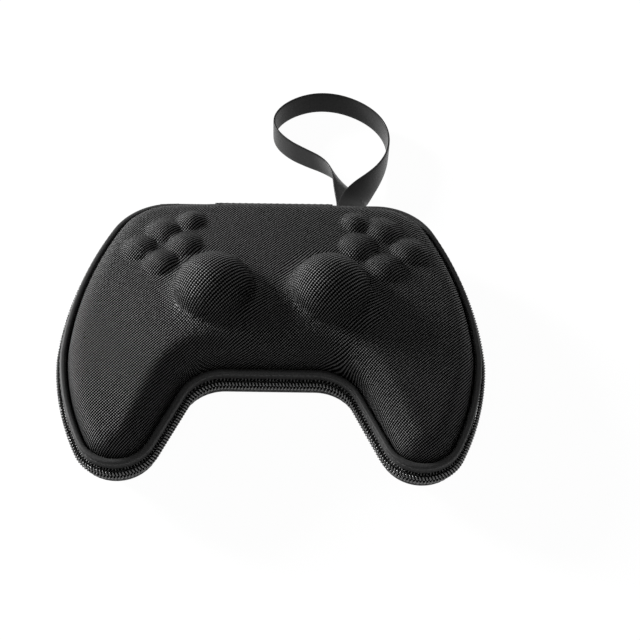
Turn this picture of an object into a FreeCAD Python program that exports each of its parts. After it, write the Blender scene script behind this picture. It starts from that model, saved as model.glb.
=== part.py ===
"""Hard zip case for a game controller: two moulded shells, rim bindings, zipper, hinge, strap.

Origin: centre of the flat resting face under the lower shell. X is the case's width,
+Y points to the hinged rear, +Z is up. Millimetres.
"""
import FreeCAD, Part
import math
import os

Vector = FreeCAD.Vector
Rotation = FreeCAD.Rotation
doc = FreeCAD.newDocument("controller_case")

# Driving sizes
SIZES = [
    ("half_width", 95.0, "outermost zipper edge, half of the printed 190"),
    ("rear_edge", 82.8, "rear edge of the zipper outline"),
    ("grip_front", 67.2, "front edge of the grip tips, ahead of the origin"),
    ("arch_front", 20.4, "front edge of the arch between the grips"),
    ("corner_center_inset", 46.5, "rear corners' centres inside the widest line"),
    ("corner_radius", 32.0, "rear corners of the outline"),
    ("flank_radius", 171.0, "long flank between corner and side"),
    ("side_radius", 45.0, "widest part of the side"),
    ("side_center_ahead", 7.8, "how far the side's centre lies ahead of the origin"),
    ("grip_link_radius", 121.0, "outer side of each grip"),
    ("tip_radius", 20.0, "grip tips"),
    ("tip_center_inset", 30.2, "grip tip centres inside the widest line"),
    ("arch_radius", 17.0, "corners of the arch"),
    ("tip_to_arch", 45.2, "arch corners' centres inside the grip tips' centres"),
    ("parting_height", 20.0, "height of the zipper's closing line"),
    ("shell_inset", 5.0, "shell wall's foot inside the zipper outline"),
    ("wall", 4.0, "laminate of the shells"),
    ("lip_gap", 2.0, "shell edge from the closing line"),
    ("upper_rise", 24.1, "crown of the upper shell above the closing line"),
    ("upper_draft", 11.0, "lean of the upper wall, degrees"),
    ("upper_round", 11.9, "shoulder of the upper shell"),
    ("crown_radius", 427.0, "crown of the upper shell"),
    ("block_spare", 4.0, "block above the crown before it is cut to the crown"),
    ("crown_back", 5.5, "crown centre behind the origin"),
    ("lower_draft", 19.0, "lean of the lower wall, degrees"),
    ("lower_round", 4.5, "edge round the lower shell's floor, outside"),
    ("lower_inner_round", 2.5, "edge round the lower shell's floor, inside"),
    ("dome_across", 26.0, "thumbstick domes from the middle"),
    ("dome_back", 15.9, "thumbstick domes behind the origin"),
    ("dome_radius", 17.6, "thumbstick domes in plan"),
    ("dome_rise", 16.0, "thumbstick domes above the crown"),
    ("skirt_radius", 22.0, "soft foot of the domes in plan"),
    ("skirt_rise", 4.5, "soft foot of the domes above the crown"),
    ("pad_inset", 44.4, "centre of each group of four bumps inside the widest line"),
    ("pad_back", 43.7, "centre of each group of four bumps behind the origin"),
    ("cross_reach", 10.4, "left group, bumps from their centre"),
    ("diamond_reach", 11.8, "right group, bumps from their centre"),
    ("cross_bump_radius", 7.6, "left group's bumps in plan"),
    ("diamond_bump_radius", 8.3, "right group's bumps in plan"),
    ("bump_rise", 3.6, "bumps above the crown"),
    ("bump_sink", 1.0, "foot of the bumps below the crown"),
    ("small_bump_inset", 57.0, "two small bumps inside the widest line"),
    ("small_bump_back", 59.4, "two small bumps behind the origin"),
    ("small_bump_radius", 6.1, "two small bumps in plan"),
    ("band_outer", 2.2, "binding's outer face inside the zipper outline"),
    ("band_low", 2.6, "binding's lower edge from the closing line"),
    ("band_high", 7.6, "binding's upper edge from the closing line"),
    ("band_roll", 0.9, "binding's rolled edge beside the zipper"),
    ("band_round", 1.5, "binding's rolled edge beside the shell"),
    ("seam_gap", 0.05, "binding from the tape under it"),
    ("tape_thick", 0.8, "zipper tape"),
    ("tape_tuck", 0.8, "tape's sewn edge below the binding's"),
    ("tape_leave", 0.3, "tape leaves the wall this far above the binding's lower edge"),
    ("tape_slant", 0.6, "height of the tape where it slants out to the coil"),
    ("tape_reach", 0.2, "tape meets the coil this far below the coil's top"),
    ("coil_thick", 2.0, "coil row through its thickness"),
    ("coil_wide", 2.0, "coil row along the height"),
    ("coil_gap", 0.4, "coil row from the closing line"),
    ("coil_edge", 0.5, "rounded edges of the coil row"),
    ("chain_short", 5.0, "left end of the zipper before the rear left corner"),
    ("chain_right_turn", 11.0, "right end of the zipper on the rear corner, degrees"),
    ("hinge_short", 20.5, "hinge strip's ends before the rear corners"),
    ("hinge_thick", 0.8, "hinge strip"),
    ("hinge_reach", 7.0, "hinge strip's edges from the closing line"),
    ("hinge_bulge", 2.8, "how far the strip stands out between the bindings"),
    ("slider_turn", 3.0, "slider's place on the rear left corner, degrees from the rear"),
    ("slider_long", 9.0, "slider along the chain"),
    ("slider_high", 6.0, "slider across the chain"),
    ("slider_plate", 0.8, "slider's plates"),
    ("slider_clear", 0.5, "slider's plates from the coil and tape"),
    ("slider_back_high", 2.4, "slider's inner plate across the chain"),
    ("post_long", 3.0, "slider's wedge along the chain"),
    ("post_thick", 0.5, "slider's wedge between the coil rows"),
    ("bail_pin", 1.0, "bar that carries the pull tab, across"),
    ("bail_reach", 1.8, "bar's middle from the slider's face"),
    ("bail_drop", 1.6, "bar's middle below the closing line"),
    ("bail_arm", 1.0, "arms that hold the bar, along the chain"),
    ("bail_arm_high", 2.0, "arms that hold the bar, across the chain"),
    ("pull_long", 15.5, "pull tab"),
    ("pull_wide", 6.0, "pull tab across its end"),
    ("pull_neck_wide", 3.4, "pull tab at its eye"),
    ("pull_neck_long", 5.5, "pull tab's neck"),
    ("pull_corner", 1.5, "pull tab's rounded end"),
    ("pull_thick", 1.4, "pull tab"),
    ("pull_clear", 0.25, "pull tab's eye round the bar"),
    ("pull_eye_wall", 0.7, "pull tab's eye"),
    ("stop_long", 2.0, "end stops along the chain"),
    ("stop_margin", 0.4, "air at each end of the end stops"),
    ("strap_wide", 13.0, "wrist strap's width"),
    ("strap_thick", 1.1, "wrist strap's thickness"),
    ("ply_gap", 0.1, "air between the two plies of the strap and round them"),
    ("strap_short", 11.5, "strap's middle before the rear right corner"),
    ("anchor_wide", 16.0, "stitched patch at the strap's foot"),
    ("anchor_deep", 7.0, "stitched patch, behind the lower binding"),
    ("anchor_skin", 0.8, "stitched patch's cloth over and under the strap"),
    ("anchor_drop", 5.2, "strap's middle below the closing line at its foot"),
]
sheet = doc.addObject("Spreadsheet::Sheet", "sizes")
for row, (alias, value, note) in enumerate(SIZES, start=1):
    sheet.set(f"A{row}", alias)
    sheet.set(f"B{row}", str(value))
    sheet.set(f"C{row}", note)
    sheet.setAlias(f"B{row}", alias)
doc.recompute()


def size(alias):
    return float(sheet.get(alias))


def bind(item, **expressions):
    """Ties properties to the sheet; a double underscore stands for the dot in a path."""
    for path, expression in expressions.items():
        item.setExpression(path.replace("__", "."), expression)
    return item


REAR_FLAT = "(sizes.half_width - sizes.corner_center_inset)"
rear_flat = size("half_width") - size("corner_center_inset")
tip_across = size("half_width") - size("tip_center_inset")


# Plan of the case: tangent arcs, worked out from the sheet for any inset
def enclosing_center(center_a, radius_a, center_b, radius_b, radius):
    """Centre of the large arc that touches two smaller ones from outside, on their left."""
    span = center_b - center_a
    far_a, far_b = radius - radius_a, radius - radius_b
    along = (far_a ** 2 - far_b ** 2 + span.Length ** 2) / (2 * span.Length)
    aside = math.sqrt(max(far_a ** 2 - along ** 2, 0.0))
    unit = span / span.Length
    return center_a + unit * along + Vector(-unit.y, unit.x, 0) * aside * -1


def angle_of(center, point):
    return math.atan2(point.y - center.y, point.x - center.x)


def half_plan():
    """Right half of the outline, rear to front: centre, radius and end angles of each arc."""
    corner = Vector(rear_flat, size("rear_edge") - size("corner_radius"), 0)
    side = Vector(size("half_width") - size("side_radius"), -size("side_center_ahead"), 0)
    tip = Vector(tip_across, size("tip_radius") - size("grip_front"), 0)
    arch = Vector(tip_across - size("tip_to_arch"), -size("arch_front") - size("arch_radius"), 0)
    flank = enclosing_center(corner, size("corner_radius"), side, size("side_radius"),
                             size("flank_radius"))
    link = enclosing_center(side, size("side_radius"), tip, size("tip_radius"),
                            size("grip_link_radius"))
    corner_flank = angle_of(flank, corner)
    flank_side = angle_of(flank, side)
    side_link = angle_of(link, side)
    link_tip = angle_of(link, tip)
    across = arch - tip
    spread = math.acos((size("tip_radius") + size("arch_radius")) / across.Length)
    inner_side = math.atan2(across.y, across.x) + spread - 2 * math.pi
    return [
        (corner, size("corner_radius"), math.pi / 2, corner_flank),
        (flank, size("flank_radius"), corner_flank, flank_side),
        (side, size("side_radius"), flank_side, side_link),
        (link, size("grip_link_radius"), side_link, link_tip),
        (tip, size("tip_radius"), link_tip, inner_side),
        (arch, -size("arch_radius"), inner_side, -math.pi / 2),
    ]


def arc_points(arc, inset):
    """Start, middle and end of an arc after the inset; a hollow arc's radius is negative."""
    center, radius, begin, end = arc
    reach = radius - inset
    turns = (begin, (begin + end) / 2, end)
    return [center + Vector(math.cos(turn), math.sin(turn), 0) * reach for turn in turns]


def plan_edges(inset, left_end=None, right_turn=0.0):
    """The inset outline, clockwise from the rear; with a left end it is an open run."""
    arcs = half_plan()
    right = list(arcs)
    center, radius, begin, end = right[0]
    right[0] = (center, radius, begin - math.radians(right_turn), end)
    rear = size("rear_edge") - inset
    edges = []
    if left_end is None:
        edges.append(Part.LineSegment(Vector(0, rear, 0), Vector(rear_flat, rear, 0)))
    for number, arc in enumerate(right):
        points = arc_points(arc, inset)
        if number == len(right) - 1:
            edges.append(Part.LineSegment(arc_points(right[number - 1], inset)[2], points[0]))
        edges.append(Part.Arc(*points))
    front = arc_points(arcs[-1], inset)[2]
    edges.append(Part.LineSegment(front, Vector(0, front.y, 0)))
    edges.append(Part.LineSegment(Vector(0, front.y, 0), Vector(-front.x, front.y, 0)))
    for number in range(len(arcs) - 1, -1, -1):
        points = [Vector(-point.x, point.y, 0) for point in arc_points(arcs[number], inset)]
        edges.append(Part.Arc(points[2], points[1], points[0]))
        if number == len(arcs) - 1:
            before = arc_points(arcs[number - 1], inset)[2]
            edges.append(Part.LineSegment(points[0], Vector(-before.x, before.y, 0)))
    stop = Vector(0, rear, 0) if left_end is None else Vector(-left_end, rear, 0)
    edges.append(Part.LineSegment(Vector(-rear_flat, rear, 0), stop))
    return edges


def plan_sketch(name, height, inset, **ends):
    sketch = doc.addObject("Sketcher::SketchObject", name)
    sketch.addGeometry(plan_edges(inset, **ends), False)
    return bind(sketch, Placement__Base__z=height)


# Shells: drafted blocks on the plan, rounded by a large ball, with the inside cut away
def drafted_block(name, foot, inset, top, draft):
    """Loft between two insets of the plan; foot and top are heights on the sheet."""
    low = plan_sketch(name + "_foot", foot, inset)
    doc.recompute()
    rise = float(low.evalExpression(top)) - low.Placement.Base.z
    far_inset = inset + abs(rise) * math.tan(math.radians(draft))
    high = plan_sketch(name + "_top", top, far_inset)
    block = doc.addObject("Part::Loft", name)
    block.Sections = [low, high]
    block.Solid = True
    block.Ruled = True
    return block


def ball(name, radius, back, center):
    """Whole ball on the case's middle plane."""
    item = doc.addObject("Part::Sphere", name)
    return bind(item, Radius=radius, Placement__Base__y=back, Placement__Base__z=center)


def boolean(kind, name, first, *others):
    """Cut, common or fusion of document objects."""
    item = doc.addObject("Part::" + kind, name)
    if kind in ("MultiFuse", "MultiCommon"):
        item.Shapes = [first, *others]
    else:
        item.Base = first
        item.Tool = others[0]
    return item


def round_rim(name, source, alias, reduction=0.0, lowest=False):
    """Rounds the edges round the crown's face, or round the lowest face."""
    doc.recompute()
    if lowest:
        rim_face = min(source.Shape.Faces, key=lambda face: face.CenterOfMass.z)
    else:
        rim_face = next(face for face in source.Shape.Faces
                        if isinstance(face.Surface, Part.Sphere))
    rims = rim_face.OuterWire.Edges
    numbers = [number for number, edge in enumerate(source.Shape.Edges, start=1)
               if any(edge.isSame(rim) for rim in rims)]
    item = doc.addObject("Part::Fillet", name)
    item.Base = source
    radius = size(alias) - reduction
    item.Edges = [(number, radius, radius) for number in numbers]
    return item


def on_crown(across, back):
    """Height of the crown above a place of the plan, as an expression."""
    return (f"sizes.parting_height + sizes.upper_rise - sizes.crown_radius"
            f" + sqrt(sizes.crown_radius^2 - ({across})^2 - ({back} - sizes.crown_back)^2)")


def bulge(name, across, back, radius, rise, lift="0"):
    """Ellipsoid that stands on the crown."""
    item = doc.addObject("Part::Ellipsoid", name)
    item.Angle1 = -90
    item.Angle2 = 90
    item.Angle3 = 360
    return bind(item, Radius1=rise, Radius2=radius, Radius3=radius, Placement__Base__x=across,
                Placement__Base__y=back, Placement__Base__z=f"{on_crown(across, back)} + {lift}")


def upper_form(name, offset):
    """Outer face of the upper shell, or its inner face when the offset is the wall."""
    thinner = f" - {offset}" if offset else ""
    block = drafted_block(name + "_block", "sizes.parting_height + sizes.lip_gap",
                          size("shell_inset") + offset,
                          "sizes.parting_height + sizes.upper_rise + sizes.block_spare",
                          size("upper_draft"))
    crown = ball(name + "_crown", "sizes.crown_radius" + thinner, "sizes.crown_back",
                 "sizes.parting_height + sizes.upper_rise - sizes.crown_radius")
    body = boolean("MultiCommon", name + "_body", block, crown)
    rounded = round_rim(name + "_round", body, "upper_round", offset)
    pieces = []
    for side, sign in (("left", "-"), ("right", "")):
        place = (f"{sign}sizes.dome_across", "sizes.dome_back")
        pieces.append(bulge(f"{name}_dome_{side}", *place, "sizes.dome_radius" + thinner,
                            "sizes.dome_rise" + thinner))
        if not offset:
            pieces.append(bulge(f"{name}_skirt_{side}", *place, "sizes.skirt_radius",
                                "sizes.skirt_rise"))
    return boolean("MultiFuse", name, rounded, *pieces)


BUMPS = []
for side, sign, kind in (("left", "-", "cross"), ("right", "", "diamond")):
    for place, right, back in (("rear", 0, 1), ("front", 0, -1), ("out", 1, 0), ("in", -1, 0)):
        across = f"sizes.half_width - sizes.pad_inset + {right} * sizes.{kind}_reach"
        BUMPS.append((f"bump_{side}_{place}", f"{sign}({across})",
                      f"sizes.pad_back + {back} * sizes.{kind}_reach",
                      f"sizes.{kind}_bump_radius"))
    BUMPS.append((f"bump_{side}_small", f"{sign}(sizes.half_width - sizes.small_bump_inset)",
                  "sizes.small_bump_back", "sizes.small_bump_radius"))

upper_skin = upper_form("upper_outside", 0.0)
bump_items = [bulge(name, across, back, radius, "sizes.bump_rise + sizes.bump_sink",
                    "-sizes.bump_sink")
              for name, across, back, radius in BUMPS]
upper_bumped = boolean("MultiFuse", "upper_bumped", upper_skin, *bump_items)
upper_hollow = upper_form("upper_inside", size("wall"))
upper_shell = boolean("Cut", "upper_shell", upper_bumped, upper_hollow)


def lower_form(name, offset, rounding):
    """Outer face of the lower shell, or its inner face when the offset is the wall."""
    aside = offset / math.cos(math.radians(size("lower_draft")))
    block = drafted_block(name + "_block", "sizes.parting_height - sizes.lip_gap",
                          size("shell_inset") + aside, f"0 + {offset}", size("lower_draft"))
    return round_rim(name, block, rounding, lowest=True)


lower_skin = lower_form("lower_outside", 0.0, "lower_round")
lower_hollow = lower_form("lower_inside", size("wall"), "lower_inner_round")
lower_shell = boolean("Cut", "lower_shell", lower_skin, lower_hollow)


# Rim: rolled binding, woven tape and coil row, above and below the closing line
def section_sketch(name, points, mirror):
    """Closed section in the case's middle plane; points are (outward, up) from the rear rim."""
    sketch = doc.addObject("Sketcher::SketchObject", name)
    corners = [Vector(outward, up * mirror, 0) for outward, up in points]
    for first, second in zip(corners, corners[1:] + corners[:1]):
        sketch.addGeometry(Part.LineSegment(first, second), False)
    return sketch


def rim_run(name, section, spine):
    """Sweeps a rim section along a run of the plan."""
    item = doc.addObject("Part::Sweep", name)
    item.Sections = [section]
    item.Spine = (spine, [f"Edge{number + 1}" for number in range(len(spine.Geometry))])
    item.Solid = True
    item.Frenet = False
    return item


closing = "sizes.parting_height"
chain_left = rear_flat - size("chain_short")
rim_spine = plan_sketch("rim_spine", closing, 0.0)
stop_room = size("stop_long") + 2 * size("stop_margin")
room_turn = math.degrees(stop_room / size("corner_radius"))
tape_spine = plan_sketch("tape_spine", closing, 0.0, left_end=chain_left - stop_room,
                         right_turn=size("chain_right_turn") - room_turn)
coil_spine = plan_sketch("coil_spine", closing, 0.0, left_end=chain_left,
                         right_turn=size("chain_right_turn"))

foot, wall_side = -size("shell_inset"), size("tape_thick") - size("shell_inset")
coil_back, coil_edge = -size("coil_thick"), size("coil_edge")
tape_back = coil_back - size("tape_thick")
coil_low = size("coil_gap")
coil_high = coil_low + size("coil_wide")
low, high, outer = size("band_low"), size("band_high"), -size("band_outer")
tape_top, tape_foot = high - size("tape_tuck"), low + size("tape_leave")
tape_meet, slant = coil_high - size("tape_reach"), size("tape_slant")
TAPE = [(foot, tape_top), (wall_side, tape_top), (wall_side, tape_foot + slant),
        (coil_back, tape_meet), (coil_back, coil_low), (tape_back, coil_low),
        (tape_back, tape_meet - slant), (foot, tape_foot)]
roll, rounding, seam = size("band_roll"), size("band_round"), size("seam_gap")
turn_in = rounding * (1 - math.sqrt(0.5))
BAND = [(wall_side, tape_foot + slant + seam), (outer - roll, tape_foot), (outer, low + roll),
        (outer, high - rounding), (outer - turn_in, high - turn_in), (outer - rounding, high),
        (foot, high), (foot, tape_top + seam), (wall_side, tape_top + seam)]
COIL = [(coil_back, coil_low + coil_edge), (coil_back, coil_high - coil_edge),
        (coil_back + coil_edge, coil_high), (-coil_edge, coil_high),
        (0, coil_high - coil_edge), (0, coil_low + coil_edge), (-coil_edge, coil_low),
        (coil_back + coil_edge, coil_low)]


def place_section(sketch, spine_start, outward):
    """Stands a section at a spine's start, its first axis pointing out of the case."""
    right = Vector(0, 0, 1)
    sketch.Placement = FreeCAD.Placement(
        spine_start, Rotation(outward, right, outward.cross(right), "XYZ"))


def spine_frame(spine):
    """Start of a spine in space and the outward direction there."""
    edge = spine.Shape.Edges[0]
    start = edge.valueAt(edge.FirstParameter)
    tangent = edge.tangentAt(edge.FirstParameter)
    return start, Vector(-tangent.y, tangent.x, 0)


doc.recompute()
RIM = {}
for level, mirror in (("upper", 1), ("lower", -1)):
    for kind, points, spine in (("binding", BAND, rim_spine), ("zip_tape", TAPE, tape_spine),
                                ("zip_coil", COIL, coil_spine)):
        name = f"{level}_{kind}"
        section = section_sketch(name + "_section", points, mirror)
        place_section(section, *spine_frame(spine))
        RIM[name] = rim_run(name, section, spine)


# Hinge: one strip of cloth sewn over both bindings along the rear
def body_sketch(body, role, name):
    """Sketch on one of a body's own origin planes."""
    sketch = body.newObject("Sketcher::SketchObject", name)
    plane = next(item for item in body.Origin.OriginFeatures if item.Role == role)
    sketch.AttachmentSupport = (plane, "")
    sketch.MapMode = "FlatFace"
    return sketch


def add_outline(sketch, items):
    for item in items:
        sketch.addGeometry(item, False)


def pad(body, name, sketch, length):
    """Pad to both sides of the sketch's plane."""
    item = body.newObject("PartDesign::Pad", name)
    item.Profile = sketch
    item.Midplane = True
    bind(item, Length=length)
    body.Tip = item
    return item


hinge_strip = doc.addObject("PartDesign::Body", "hinge_strip_body")
hinge_section = body_sketch(hinge_strip, "YZ_Plane", "hinge_section")
reach, bow, cloth = size("hinge_reach"), size("hinge_bulge"), size("hinge_thick")
inner = [Vector(0, -reach, 0), Vector(bow, 0, 0), Vector(0, reach, 0)]
shell_side = [Vector(cloth, -reach, 0), Vector(bow + cloth, 0, 0), Vector(cloth, reach, 0)]
add_outline(hinge_section, [Part.Arc(*inner), Part.LineSegment(inner[2], shell_side[2]),
                            Part.Arc(*reversed(shell_side)),
                            Part.LineSegment(shell_side[0], inner[0])])
pad(hinge_strip, "hinge_cloth", hinge_section, f"2 * ({REAR_FLAT} - sizes.hinge_short)")
bind(hinge_strip, Placement__Base__y="sizes.rear_edge - sizes.band_outer",
     Placement__Base__z=closing)


# Wrist strap: flat woven tape from the patch, round in a loop and back under itself
def box(name, sizes, corner):
    """Box by expressions for its three lengths and its lowest corner."""
    item = doc.addObject("Part::Box", name)
    return bind(item, Length=sizes[0], Width=sizes[1], Height=sizes[2],
                Placement__Base__x=corner[0], Placement__Base__y=corner[1],
                Placement__Base__z=corner[2])


STRAP_FOOT = f"({REAR_FLAT} - sizes.strap_short)"
anchor_high = "(2 * sizes.strap_thick + 2 * sizes.anchor_skin + sizes.ply_gap)"
patch = box("anchor_patch", ("sizes.anchor_wide", "sizes.anchor_deep", anchor_high),
            (f"{STRAP_FOOT} - sizes.anchor_wide / 2", "sizes.rear_edge - sizes.band_outer",
             f"{closing} - sizes.anchor_drop - {anchor_high} / 2"))
slot_wide = "(sizes.strap_wide + 2 * sizes.ply_gap)"
slot_high = "(2 * sizes.strap_thick + sizes.ply_gap)"
slot = box("anchor_slot", (slot_wide, "sizes.anchor_deep", slot_high),
           (f"{STRAP_FOOT} - {slot_wide} / 2",
            "sizes.rear_edge - sizes.band_outer + sizes.anchor_skin",
            f"{closing} - sizes.anchor_drop - {slot_high} / 2"))
strap_anchor = boolean("Cut", "strap_anchor", patch, slot)

ply = (size("strap_thick") + size("ply_gap")) / 2
foot_height = size("parting_height") - size("anchor_drop")
foot_back = size("rear_edge") - size("band_outer") + size("anchor_skin") + size("ply_gap")
laid = size("strap_wide") / 2
strap_foot = rear_flat - size("strap_short")
# Route: across from the foot, back, height of the tape's middle, turn about its run in degrees
STRAP_ROUTE = [
    (0, foot_back, foot_height + ply, 0),
    (0, foot_back + size("anchor_deep"), foot_height + ply, 0),
    (1.5, 95.0, foot_height - 0.6, -8),
    (5.0, 102.0, 12.0, -38),
    (10.0, 110.0, 9.5, -66),
    (15.5, 119.5, 7.6, -82),
    (19.8, 130.5, laid, -90),
    (21.2, 142.0, laid, -90),
    (18.5, 152.5, laid, -90),
    (12.5, 161.0, laid, -90),
    (4.0, 167.5, laid, -90),
    (-6.0, 171.5, laid, -90),
    (-16.5, 172.0, laid, -90),
    (-26.5, 168.5, laid, -90),
    (-34.5, 162.0, laid, -90),
    (-38.6, 153.5, laid, -90),
    (-36.5, 144.5, laid, -90),
    (-30.0, 137.0, laid, -90),
    (-21.5, 131.5, laid, -92),
    (-13.0, 126.5, 6.8, -98),
    (-7.0, 119.5, 7.6, -110),
    (-3.5, 111.0, 9.2, -132),
    (-1.4, 103.0, 11.4, -158),
    (0, 95.5, 13.2, -176),
    (0, foot_back + size("anchor_deep"), foot_height - ply, -180),
    (0, foot_back, foot_height - ply, -180),
]


def tape_section(before, place, after, turn):
    """Flat section across the tape's run, turned about the run."""
    run = (after - before).normalize()
    level = run.cross(Vector(0, 0, 1)).normalize()
    rise = level.cross(run)
    angle = math.radians(turn)
    across = level * math.cos(angle) + rise * math.sin(angle)
    normal = run.cross(across)
    half_wide, half_thick = size("strap_wide") / 2, size("strap_thick") / 2
    signs = ((-1, -1), (1, -1), (1, 1), (-1, 1), (-1, -1))
    return Part.makePolygon([place + across * half_wide * wide + normal * half_thick * deep
                             for wide, deep in signs])


places = [Vector(strap_foot + across, back, height) for across, back, height, turn in STRAP_ROUTE]
sections = [tape_section(places[max(number - 1, 0)], place,
                         places[min(number + 1, len(places) - 1)], STRAP_ROUTE[number][3])
            for number, place in enumerate(places)]
wrist_strap = doc.addObject("Part::Feature", "wrist_strap")
wrist_strap.Shape = Part.makeLoft(sections, True, True)
strap_length = sum(first.distanceToPoint(second) for first, second in zip(places, places[1:]))
print("strap run", round(strap_length, 1))


# Zipper ends and slider: each is built about a point of the chain and then stood there
def corner_place(side, turn):
    """On a rear corner of the outline: Y points out of the case, Z up."""
    center, radius = half_plan()[0][:2]
    angle = math.radians(turn)
    base = Vector(side * (center.x + radius * math.sin(angle)),
                  center.y + radius * math.cos(angle), size("parting_height"))
    return FreeCAD.Placement(base, Rotation(Vector(0, 0, 1), -side * turn))


LEFT, RIGHT = -1, 1
left_end = FreeCAD.Placement(
    Vector(-chain_left + stop_room / 2, size("rear_edge"), size("parting_height")),
    Rotation())
right_end = corner_place(RIGHT, size("chain_right_turn") - room_turn / 2)


def zip_stops(level, lowest):
    """Pair of moulded stops on one tape, one past each end of its coil row."""
    blocks = []
    for side, place in (("left", left_end), ("right", right_end)):
        item = doc.addObject("Part::Box", f"{level}_stop_{side}")
        bind(item, Length="sizes.stop_long", Width="sizes.coil_thick", Height="sizes.coil_wide")
        corner = Vector(-size("stop_long") / 2, -size("coil_thick"), lowest)
        item.Placement = place.multiply(FreeCAD.Placement(corner, Rotation()))
        blocks.append(item)
    return boolean("MultiFuse", f"{level}_zip_stops", *blocks)


upper_stops = zip_stops("upper", size("coil_gap"))
lower_stops = zip_stops("lower", -size("coil_gap") - size("coil_wide"))

slider_place = corner_place(LEFT, size("slider_turn"))
half_long = "sizes.slider_long / 2"
back_face = "(sizes.coil_thick + sizes.tape_thick + sizes.slider_clear)"
arm_start = "(sizes.pull_neck_wide / 2 + sizes.pull_clear)"
bar_out = "(sizes.slider_clear + sizes.slider_plate + sizes.bail_reach)"
slider_parts = [
    box("slider_front", ("sizes.slider_long", "sizes.slider_plate", "sizes.slider_high"),
        (f"-{half_long}", "sizes.slider_clear", "-sizes.slider_high / 2")),
    box("slider_back", ("sizes.slider_long", "sizes.slider_plate", "sizes.slider_back_high"),
        (f"-{half_long}", f"-{back_face} - sizes.slider_plate", "-sizes.slider_back_high / 2")),
    box("slider_wedge",
        ("sizes.post_long", f"{back_face} + sizes.slider_clear + sizes.slider_plate",
         "sizes.post_thick"),
        (f"{half_long} - sizes.post_long", f"-{back_face}", "-sizes.post_thick / 2")),
]
for name, start in (("slider_arm_front", arm_start),
                    ("slider_arm_rear", f"-{arm_start} - sizes.bail_arm")):
    slider_parts.append(
        box(name, ("sizes.bail_arm", "sizes.slider_plate + sizes.bail_reach + sizes.bail_pin",
                   "sizes.bail_arm_high"),
            (start, "sizes.slider_clear",
             "-sizes.bail_drop - sizes.bail_arm_high / 2")))
bar = doc.addObject("Part::Cylinder", "slider_bar")
bar.Placement.Rotation = Rotation(Vector(0, 1, 0), 90)
slider_parts.append(bind(bar, Radius="sizes.bail_pin / 2",
                         Height=f"2 * {arm_start} + sizes.bail_arm",
                         Placement__Base__x=f"-{arm_start} - sizes.bail_arm / 2",
                         Placement__Base__y=bar_out,
                         Placement__Base__z="-sizes.bail_drop"))
zip_slider = boolean("MultiFuse", "zip_slider", *slider_parts)
zip_slider.Placement = slider_place

# The pull tab is drawn about its eye with its end towards -X, then hung from the bar
pull_tab = doc.addObject("PartDesign::Body", "pull_tab_body")
tab_sketch = body_sketch(pull_tab, "XZ_Plane", "tab_outline")
neck, wide = size("pull_neck_wide") / 2, size("pull_wide") / 2
length, neck_end, corner = size("pull_long"), size("pull_neck_long"), size("pull_corner")
eye_hole = size("bail_pin") / 2 + size("pull_clear")
eye_out = eye_hole + size("pull_eye_wall")
cut_in = corner * (1 - math.sqrt(0.5))
TAB = [(-eye_hole - size("pull_eye_wall") / 2, neck), (-neck_end, neck),
       (-neck_end - (wide - neck), wide), (-length + corner, wide)]
top = [Vector(along, up, 0) for along, up in TAB]
bottom = [Vector(point.x, -point.y, 0) for point in reversed(top)]
round_top = Part.Arc(top[-1], Vector(-length + cut_in, wide - cut_in, 0),
                     Vector(-length, wide - corner, 0))
round_bottom = Part.Arc(Vector(-length, corner - wide, 0),
                        Vector(-length + cut_in, cut_in - wide, 0), bottom[0])
add_outline(tab_sketch, [Part.LineSegment(*pair) for pair in zip(top, top[1:])])
add_outline(tab_sketch, [round_top, Part.LineSegment(Vector(-length, wide - corner, 0),
                                                     Vector(-length, corner - wide, 0)),
                         round_bottom])
add_outline(tab_sketch, [Part.LineSegment(*pair) for pair in zip(bottom, bottom[1:])])
add_outline(tab_sketch, [Part.LineSegment(bottom[-1], top[0])])
pad(pull_tab, "tab_plate", tab_sketch, "sizes.pull_thick")
eye_sketch = body_sketch(pull_tab, "XY_Plane", "eye_outline")
add_outline(eye_sketch, [Part.Circle(Vector(0, 0, 0), Vector(0, 0, 1), eye_out)])
pad(pull_tab, "tab_eye", eye_sketch, "sizes.pull_neck_wide")
doc.recompute()
solid_eye = pull_tab.Shape.Volume
hole_sketch = body_sketch(pull_tab, "XY_Plane", "hole_outline")
add_outline(hole_sketch, [Part.Circle(Vector(0, 0, 0), Vector(0, 0, 1), eye_hole)])
hole = pull_tab.newObject("PartDesign::Pocket", "eye_hole")
hole.Profile = hole_sketch
hole.Type = "Length"
hole.Midplane = True
bind(hole, Length="2 * sizes.pull_neck_wide")
pull_tab.Tip = hole
doc.recompute()
if pull_tab.Shape.Volume >= solid_eye:
    raise SystemExit("the pull tab's eye was not cut")
bar_middle = Vector(0, size("slider_clear") + size("slider_plate") + size("bail_reach"),
                    -size("bail_drop"))
hanging = Rotation(Vector(0, 1, 0), -90)
pull_tab.Placement = slider_place.multiply(FreeCAD.Placement(bar_middle, hanging))

# Hand-over: labels, checks and one file for each piece
NODES = {
    "upper_shell": upper_shell,
    "upper_binding": RIM["upper_binding"],
    "upper_zip_tape": RIM["upper_zip_tape"],
    "upper_zip_coil": RIM["upper_zip_coil"],
    "upper_zip_stops": upper_stops,
    "lower_shell": lower_shell,
    "lower_binding": RIM["lower_binding"],
    "lower_zip_tape": RIM["lower_zip_tape"],
    "lower_zip_coil": RIM["lower_zip_coil"],
    "lower_zip_stops": lower_stops,
    "hinge_strip": hinge_strip,
    "strap_anchor": strap_anchor,
    "wrist_strap": wrist_strap,
    "zip_slider": zip_slider,
    "pull_tab": pull_tab,
}
for name, item in NODES.items():
    item.Label = name
doc.recompute()
for item in doc.Objects:
    if "Invalid" in item.State or "Error" in item.State:
        raise SystemExit(f"{item.Name} failed: {item.State}")
for name, item in NODES.items():
    if item.Shape.isNull() or not item.Shape.isValid() or not item.Shape.Solids:
        raise SystemExit(f"{name} has no valid solid")
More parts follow.
